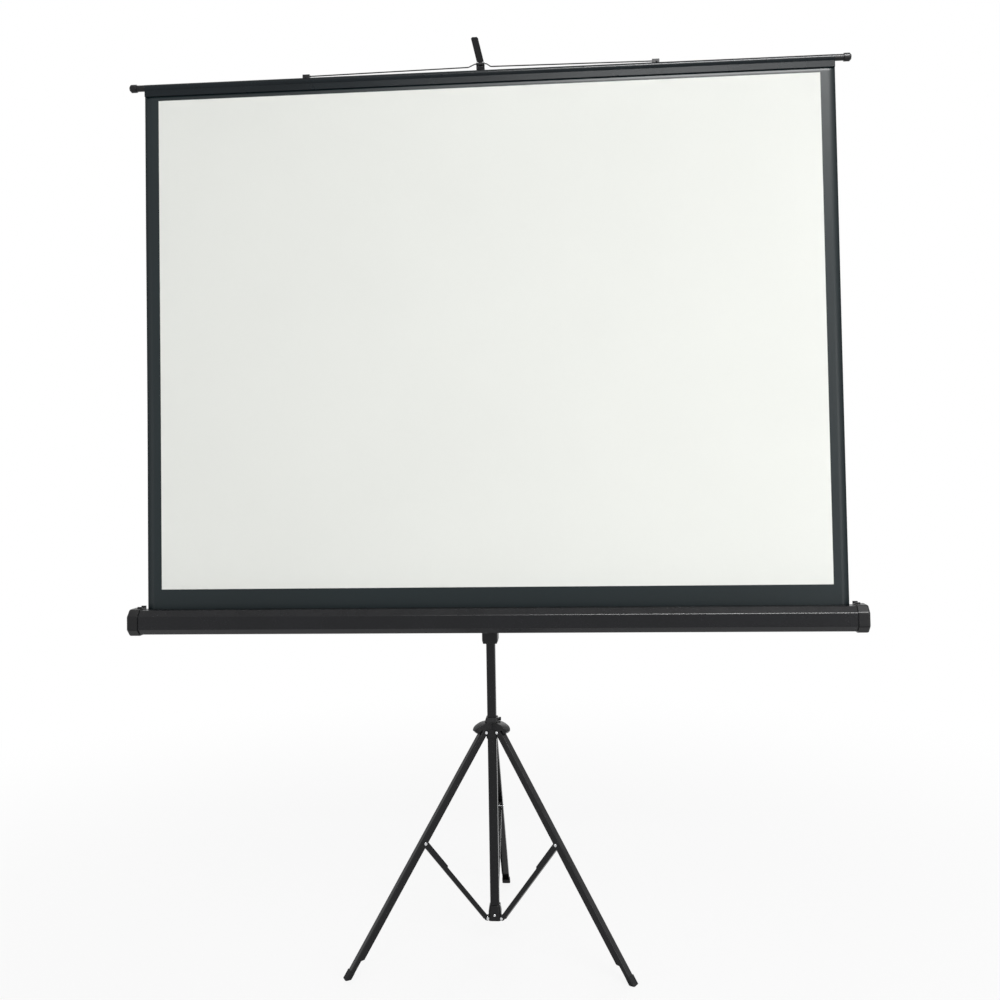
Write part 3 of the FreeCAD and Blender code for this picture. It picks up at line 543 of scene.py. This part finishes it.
def geometry_tree(name: str, inputs: dict[str, str]) -> tuple[Tree, bpy.types.Node, bpy.types.Node]:
    """Starts a geometry tree.

    Args:
        name: the tree's name.
        inputs: each input's name with its socket type.

    Returns:
        The tree, its input node and its output node.
    """
    group = bpy.data.node_groups.new(name, "GeometryNodeTree")
    group.interface.new_socket("Geometry", in_out="INPUT", socket_type="NodeSocketGeometry")
    for label, kind in inputs.items():
        group.interface.new_socket(label, in_out="INPUT", socket_type=kind)
    group.interface.new_socket("Geometry", in_out="OUTPUT", socket_type="NodeSocketGeometry")
    tree = Tree(group)
    return tree, tree.node("NodeGroupInput"), tree.node("NodeGroupOutput")


def close_tree(
    tree: Tree, shape: bpy.types.NodeSocket, source: bpy.types.Node, result: bpy.types.Node
) -> None:
    """Ends a geometry tree: its shape becomes plain mesh in the tree's material.

    Args:
        tree: the tree to end.
        shape: the output that holds the shape.
        source: the tree's input node, which has a Material.
        result: the tree's output node.
    """
    real = tree.node("GeometryNodeRealizeInstances")
    tree.link(shape, real.inputs[0])
    painted = tree.node("GeometryNodeSetMaterial")
    tree.link(real.outputs[0], painted.inputs["Geometry"])
    tree.link(source.outputs["Material"], painted.inputs["Material"])
    tree.link(painted.outputs[0], result.inputs[0])


@dataclass
class ScreenCloth:
    """The drawn cloth, and the turns of it that stay on the roller."""

    picture_width: float = 1.707
    picture_height: float = 1.28
    picture_bottom: float = 0.923
    columns: int = 96
    rows: int = 72
    curl: float = 0.0016
    ripple: float = 0.0007
    flat_above: float = 0.86
    edge_power: int = 14
    waves_across: float = 5.1
    waves_up: float = 1.3
    phase_across: float = 0.6
    phase_up: float = 0.4
    turns: float = 2.0
    turn_points: int = 64
    map_name: str = "cut"

    def __post_init__(self) -> None:
        """Reads the cloth's place from the frame."""
        low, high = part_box("screen_fabric")
        self.low = low
        self.high = high
        self.width = high.x - low.x
        self.height = high.z - low.z
        self.thickness = high.y - low.y
        self.picture_low = self.picture_bottom - low.z

    def depth_at(self, u: float, v: float) -> float:
        """How far the cloth stands off its plane.

        Args:
            u: the share of the way across.
            v: the share of the way up.

        Returns:
            The distance along +Y, in metres.
        """
        free = math.sin(math.pi * min(v / self.flat_above, 1.0)) ** 2
        edge = abs(2 * u - 1) ** self.edge_power
        across = math.sin(self.waves_across * math.pi * u + self.phase_across)
        up = math.sin(self.waves_up * math.pi * v + self.phase_up)
        return free * (self.curl * edge + self.ripple * (across * up))

    def build_sheet(self, back: bpy.types.Material) -> bpy.types.Object:
        """Makes the drawn cloth.

        Args:
            back: the material of the cloth's back.

        Returns:
            The cloth, riding on the case.
        """
        middle = (self.low.y + self.high.y) / 2
        points = []
        for row in range(self.rows + 1):
            for column in range(self.columns + 1):
                u, v = column / self.columns, row / self.rows
                x, z = self.low.x + u * self.width, self.low.z + v * self.height
                points.append(Vector((x, middle + self.depth_at(u, v), z)))
        span = self.columns + 1
        faces = []
        for row in range(self.rows):
            for column in range(self.columns):
                below, above = row * span + column, (row + 1) * span + column
                faces.append((below, below + 1, above + 1, above))
        sheet = add_mesh("screen_sheet", points, faces)
        layer = sheet.data.uv_layers.new(name=self.map_name)
        for loop in sheet.data.loops:
            row, column = divmod(loop.vertex_index, span)
            layer.data[loop.index].uv = (column / self.columns, row / self.rows)
        sheet.data.polygons.foreach_set("use_smooth", [True] * len(sheet.data.polygons))
        for material in (ScreenFinish().build(self), back):
            sheet.data.materials.append(material)
        skin = sheet.modifiers.new("skin", "SOLIDIFY")
        skin.thickness = self.thickness
        skin.offset = 0.0
        skin.material_offset = 1
        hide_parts("screen_fabric")
        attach(sheet, "case")
        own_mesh(sheet)
        return sheet

    def roll_tree(self) -> bpy.types.NodeTree:
        """A geometry tree that winds a sheet into a spiral along X.

        Returns:
            The tree.
        """
        tree, source, result = geometry_tree(
            "wound_cloth",
            {
                "Turns": "NodeSocketFloat", "Inner": "NodeSocketFloat", "Outer": "NodeSocketFloat",
                "Width": "NodeSocketFloat", "Start": "NodeSocketVector", "Material": "NodeSocketMaterial",
            },
        )
        spiral = tree.node("GeometryNodeCurveSpiral")
        spiral.inputs["Resolution"].default_value = self.turn_points
        spiral.inputs["Height"].default_value = 0.0
        for label, slot in (("Turns", "Rotations"), ("Inner", "Start Radius"), ("Outer", "End Radius")):
            tree.link(source.outputs[label], spiral.inputs[slot])
        turned = tree.node("GeometryNodeTransform")
        turned.inputs["Rotation"].default_value = (0.0, math.pi / 2, 0.0)
        tree.link(spiral.outputs[0], turned.inputs["Geometry"])
        tree.link(source.outputs["Start"], turned.inputs["Translation"])
        line = tree.node("GeometryNodeCurveToMesh")
        tree.link(turned.outputs[0], line.inputs["Curve"])
        along = tree.node("ShaderNodeCombineXYZ")
        tree.link(source.outputs["Width"], along.inputs["X"])
        strip = tree.node("GeometryNodeExtrudeMesh", mode="EDGES")
        tree.link(line.outputs[0], strip.inputs["Mesh"])
        tree.link(along.outputs[0], strip.inputs["Offset"])
        close_tree(tree, strip.outputs["Mesh"], source, result)
        return tree.tree

    def build_roll(self, material: bpy.types.Material) -> bpy.types.Object:
        """Makes the turns of cloth left on the roller.

        Args:
            material: the cloth's back.

        Returns:
            The wound cloth, riding on the roller.
        """
        low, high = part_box("fabric_wraps")
        core_low, core_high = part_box("roller_tube")
        inner = (core_high.z - core_low.z) / 2
        outer = (high.z - low.z) / 2
        wall = (outer - inner) / 4
        start, end = inner + wall, outer - wall / 2
        roll = add_mesh("cloth_roll", [Vector((0.0, 0.0, 0.0))], [])
        middle = (low + high) / 2
        grow(roll, self.roll_tree(), {
            "Turns": self.turns, "Inner": start, "Outer": end, "Width": high.x - low.x,
            "Start": (low.x, middle.y, middle.z), "Material": material,
        })
        roll.data.polygons.foreach_set("use_smooth", [True] * len(roll.data.polygons))
        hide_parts("fabric_wraps")
        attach(roll, "roller")
        return roll

    def build(self, back: bpy.types.Material) -> list[bpy.types.Object]:
        """Makes both pieces of cloth.

        Args:
            back: the material of the cloth's back.

        Returns:
            The two pieces.
        """
        return [self.build_sheet(back), self.build_roll(back)]


@dataclass
class ScrewSet:
    """Domed screws with a cross recess, in place of one node's plain heads."""

    node: str
    body: str
    inside: str
    finish: Finish = Finish.STEEL
    recess: float = 0.22
    apart: float = 0.012
    segments: int = 24
    rings: int = 12
    block_share: float = 4.0
    recess_length: float = 1.1
    recess_floor: float = 0.6

    def heads(self) -> list[tuple[Vector, Vector, float, float]]:
        """Finds each head in the node.

        Returns:
            Each head's foot, outward direction, radius and height.
        """
        groups: list[list[Vector]] = []
        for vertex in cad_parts[self.node].data.vertices:
            for group in groups:
                if (group[0] - vertex.co).length < self.apart:
                    group.append(vertex.co.copy())
                    break
            else:
                groups.append([vertex.co.copy()])
        low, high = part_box(self.inside)
        centre = (low + high) / 2
        found = []
        for group in groups:
            bottom = Vector(min(point[side] for point in group) for side in range(3))
            top = Vector(max(point[side] for point in group) for side in range(3))
            size = top - bottom
            axis = min(range(3), key=lambda side: size[side])
            middle = (bottom + top) / 2
            way = Vector((0.0, 0.0, 0.0))
            way[axis] = 1.0 if middle[axis] > centre[axis] else -1.0
            foot = middle - way * size[axis] / 2
            found.append((foot, way, max(size) / 2, size[axis]))
        return found

    @classmethod
    def head_tree(cls) -> bpy.types.NodeTree:
        """A geometry tree that sets a domed head on every point.

        Returns:
            The tree.
        """
        tree, source, result = geometry_tree(
            "domed_heads",
            {
                "Radius": "NodeSocketFloat", "Height": "NodeSocketFloat", "Recess": "NodeSocketFloat",
                "Material": "NodeSocketMaterial",
            },
        )
        ball = tree.node("GeometryNodeMeshUVSphere")
        ball.inputs["Segments"].default_value = cls.segments
        ball.inputs["Rings"].default_value = cls.rings
        tree.link(source.outputs["Radius"], ball.inputs["Radius"])
        flat = tree.node("ShaderNodeCombineXYZ")
        flat.inputs["X"].default_value = 1.0
        flat.inputs["Y"].default_value = 1.0
        tree.link(tree.math("DIVIDE", source.outputs["Height"], source.outputs["Radius"]), flat.inputs["Z"])
        dome = tree.node("GeometryNodeTransform")
        tree.link(ball.outputs["Mesh"], dome.inputs["Geometry"])
        tree.link(flat.outputs[0], dome.inputs["Scale"])
        cut = tree.node("GeometryNodeMeshBoolean", operation="DIFFERENCE")
        tree.link(dome.outputs[0], cut.inputs["Mesh 1"])
        wide = tree.math("MULTIPLY", source.outputs["Radius"], cls.block_share)
        narrow = tree.math("MULTIPLY", source.outputs["Radius"], source.outputs["Recess"])
        long = tree.math("MULTIPLY", source.outputs["Radius"], cls.recess_length)
        low = tree.math("MULTIPLY", wide, -0.5)
        high = tree.math("MULTIPLY_ADD", wide, 0.5)
        floor = tree.math("MULTIPLY", source.outputs["Height"], cls.recess_floor)
        tree.link(floor, high.node.inputs[2])
        for size, place in (((wide, wide), low), ((narrow, long), high), ((long, narrow), high)):
            cube = tree.node("GeometryNodeMeshCube")
            shape = tree.node("ShaderNodeCombineXYZ")
            tree.link(size[0], shape.inputs["X"])
            tree.link(size[1], shape.inputs["Y"])
            tree.link(wide, shape.inputs["Z"])
            tree.link(shape.outputs[0], cube.inputs["Size"])
            shift = tree.node("ShaderNodeCombineXYZ")
            tree.link(place, shift.inputs["Z"])
            moved = tree.node("GeometryNodeTransform")
            tree.link(cube.outputs["Mesh"], moved.inputs["Geometry"])
            tree.link(shift.outputs[0], moved.inputs["Translation"])
            tree.link(moved.outputs[0], cut.inputs["Mesh 2"])
        facing = tree.node("GeometryNodeInputNamedAttribute", data_type="FLOAT_VECTOR")
        facing.inputs["Name"].default_value = "facing"
        turn = tree.node("FunctionNodeAlignRotationToVector", axis="Z")
        tree.link(facing.outputs["Attribute"], turn.inputs["Vector"])
        placed = tree.node("GeometryNodeInstanceOnPoints")
        tree.link(source.outputs["Geometry"], placed.inputs["Points"])
        tree.link(cut.outputs["Mesh"], placed.inputs["Instance"])
        tree.link(turn.outputs[0], placed.inputs["Rotation"])
        close_tree(tree, placed.outputs[0], source, result)
        return tree.tree

    def build(self, tree: bpy.types.NodeTree, material: bpy.types.Material) -> bpy.types.Object:
        """Makes the set.

        Args:
            tree: the tree from head_tree.
            material: the heads' material.

        Returns:
            The heads, as one piece that rides on its body.
        """
        heads = self.heads()
        piece = add_mesh(self.node + "_heads", [head[0] for head in heads], [])
        facing = piece.data.attributes.new("facing", "FLOAT_VECTOR", "POINT")
        facing.data.foreach_set("vector", [value for head in heads for value in head[1]])
        values = {"Radius": heads[0][2], "Height": heads[0][3], "Recess": self.recess, "Material": material}
        grow(piece, tree, values)
        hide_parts(self.node)
        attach(piece, self.body)
        return piece


@dataclass(frozen=True)
class Lamp:
    """A soft rectangular lamp."""

    name: str
    place: Point
    aim: Point
    size: tuple[float, float]
    power: float
    sheen_only: bool = False

    def build(self) -> bpy.types.Object:
        """Hangs the lamp.

        Returns:
            The lamp, which lights only glossy surfaces where sheen_only is set.
        """
        data = bpy.data.lights.new(self.name, "AREA")
        data.shape = "RECTANGLE"
        data.size, data.size_y = self.size
        data.energy = self.power
        lamp = bpy.data.objects.new(self.name, data)
        lamp.location = self.place
        lamp.visible_diffuse = not self.sheen_only
        away = Vector(self.place) - Vector(self.aim)
        lamp.rotation_euler = away.to_track_quat("Z", "Y").to_euler()
        bpy.context.scene.collection.objects.link(lamp)
        return lamp


LAMPS: tuple[Lamp, ...] = (
    Lamp("key", (2.7, -3.0, 1.3), (0.0, 0.0, 1.2), (1.6, 1.6), 46.0),
    Lamp("fill", (-3.6, -3.0, 1.2), (0.0, 0.0, 1.0), (2.0, 2.0), 15.0),
    Lamp("strip", (0.6, -3.0, 3.0), (0.2, 0.0, 0.8), (2.6, 0.22), 20.0),
    Lamp("sheen", (1.4, -2.5, 4.2), (0.3, 0.0, 0.8), (2.8, 0.7), 430.0, sheen_only=True),
    Lamp("back", (0.5, 3.6, 3.4), (0.0, 0.0, 1.2), (2.4, 2.4), 40.0),
)


@dataclass
class Studio:
    """The pale floor, the soft light and the camera of the photograph."""

    focal_pixels: float = 1049.7
    image_pixels: float = 1000.0
    centre_row: float = 430.0
    eye: Vector = Vector((0.2397, -2.7327, 1.2369))
    yaw: float = -0.07536
    pitch: float = 0.03122
    roll: float = -0.01672
    sensor: float = 36.0
    ambient: float = 0.5
    floor_size: float = 40.0
    floor_grey: float = 0.86
    floor_roughness: float = 0.9
    near_white: float = 0.85
    white_step: tuple[float, float] = (0.8, 3.0)

    def build_camera(self) -> bpy.types.Object:
        """Sets the camera where the photograph was taken from.

        Returns:
            The camera.
        """
        low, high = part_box("mast_tube")
        mast = Vector(((low.x + high.x) / 2, (low.y + high.y) / 2, 0.0))
        right = Vector((math.cos(self.yaw), -math.sin(self.yaw), 0.0))
        level = Vector((math.sin(self.yaw), math.cos(self.yaw), 0.0))
        up = Vector((0.0, 0.0, 1.0))
        ahead = math.cos(self.pitch) * level + math.sin(self.pitch) * up
        above = -math.sin(self.pitch) * level + math.cos(self.pitch) * up
        side = math.cos(self.roll) * right + math.sin(self.roll) * above
        top = -math.sin(self.roll) * right + math.cos(self.roll) * above
        data = bpy.data.cameras.new("camera")
        data.sensor_width = self.sensor
        data.lens = self.sensor * self.focal_pixels / self.image_pixels
        data.shift_y = (self.centre_row - self.image_pixels / 2) / self.image_pixels
        camera = bpy.data.objects.new("camera", data)
        turn = Matrix((side, top, -ahead)).transposed().to_4x4()
        camera.matrix_world = Matrix.Translation(mast + self.eye) @ turn
        bpy.context.scene.collection.objects.link(camera)
        bpy.context.scene.camera = camera
        return camera

    def build_world(self) -> None:
        """Makes the even white surround, dimmer as light than as a backdrop."""
        world = bpy.data.worlds.new("studio")
        world.use_nodes = True
        world.node_tree.nodes.clear()
        tree = Tree(world.node_tree)
        path = tree.node("ShaderNodeLightPath")
        seen = tree.math("MAXIMUM", path.outputs["Is Camera Ray"], path.outputs["Is Glossy Ray"])
        seen = tree.math("MAXIMUM", seen, path.outputs["Is Transmission Ray"])
        backdrop = tree.node("ShaderNodeBackground")
        backdrop.inputs["Strength"].default_value = 1.0
        backdrop.inputs["Color"].default_value = (1.0, 1.0, 1.0, 1.0)
        light = tree.node("ShaderNodeBackground")
        light.inputs["Strength"].default_value = self.ambient
        light.inputs["Color"].default_value = (1.0, 1.0, 1.0, 1.0)
        mixed = tree.node("ShaderNodeMixShader")
        tree.link(seen, mixed.inputs[0])
        tree.link(light.outputs[0], mixed.inputs[1])
        tree.link(backdrop.outputs[0], mixed.inputs[2])
        tree.link(mixed.outputs[0], tree.node("ShaderNodeOutputWorld").inputs["Surface"])
        bpy.context.scene.world = world

    def build_floor(self) -> bpy.types.Object:
        """Makes the pale floor, which keeps a faint shadow.

        Returns:
            The floor.
        """
        half = self.floor_size / 2
        corners = [Vector((x * half, y * half, 0.0)) for x, y in ((-1, -1), (1, -1), (1, 1), (-1, 1))]
        floor = add_mesh("floor", corners, [(0, 1, 2, 3)])
        material, tree = new_material("pale_floor")
        path = tree.node("ShaderNodeLightPath")
        seen = tree.math("MAXIMUM", path.outputs["Is Camera Ray"], path.outputs["Is Glossy Ray"])
        paint = tree.node("ShaderNodeBsdfPrincipled")
        paint.inputs["Base Color"].default_value = (self.floor_grey, self.floor_grey, self.floor_grey, 1.0)
        paint.inputs["Roughness"].default_value = self.floor_roughness
        glow = tree.node("ShaderNodeEmission")
        glow.inputs["Color"].default_value = (1.0, 1.0, 1.0, 1.0)
        mixed = tree.node("ShaderNodeMixShader")
        away = tree.node("ShaderNodeVectorMath", operation="LENGTH")
        tree.link(tree.node("ShaderNodeTexCoord").outputs["Object"], away.inputs[0])
        far = tree.ramp(away.outputs["Value"], *self.white_step)
        fade = tree.math("MULTIPLY_ADD", far, 1.0 - self.near_white)
        fade.node.inputs[2].default_value = self.near_white
        tree.link(tree.math("MULTIPLY", seen, fade), mixed.inputs[0])
        tree.link(paint.outputs[0], mixed.inputs[1])
        tree.link(glow.outputs[0], mixed.inputs[2])
        tree.link(mixed.outputs[0], tree.node("ShaderNodeOutputMaterial").inputs["Surface"])
        floor.data.materials.append(material)
        return floor

    def build(self) -> None:
        """Makes the whole studio."""
        self.build_camera()
        self.build_world()
        self.build_floor()
        for lamp in LAMPS:
            lamp.build()
        bpy.context.scene.view_settings.view_transform = "Standard"


def dress_rigid(finishes: dict[Finish, bpy.types.Material]) -> None:
    """Gives every rigid node its finish.

    Args:
        finishes: the materials by finish.
    """
    for finish, names in RIGID_NODES.items():
        for name in names:
            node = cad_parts[name]
            for slot in node.material_slots:
                slot.material = finishes[finish]
            LOG.info("dressed %s in %s", name, finish.value)


def main() -> None:
    """Builds the looks in order."""
    effects = SharedEffects()
    finishes = {finish: surface.build(effects) for finish, surface in SURFACES.items()}
    dress_rigid(finishes)
    for piece in ScreenCloth().build(CLOTH_BACK.build(effects)):
        LOG.info("made %s", piece.name)
    heads = ScrewSet.head_tree()
    screws = (
        ScrewSet("hub_screws", "mast", "mast_tube"),
        ScrewSet("cap_screws", "case", "case_shell", Finish.TUBE),
        ScrewSet("bracket_screws", "case", "case_shell"),
        ScrewSet("clip_screws", "slat", "slat", Finish.TUBE),
    )
    for screw in screws:
        LOG.info("made %s", screw.build(heads, finishes[screw.finish]).name)
    Studio().build()


if __name__ == "__main__":
    main()
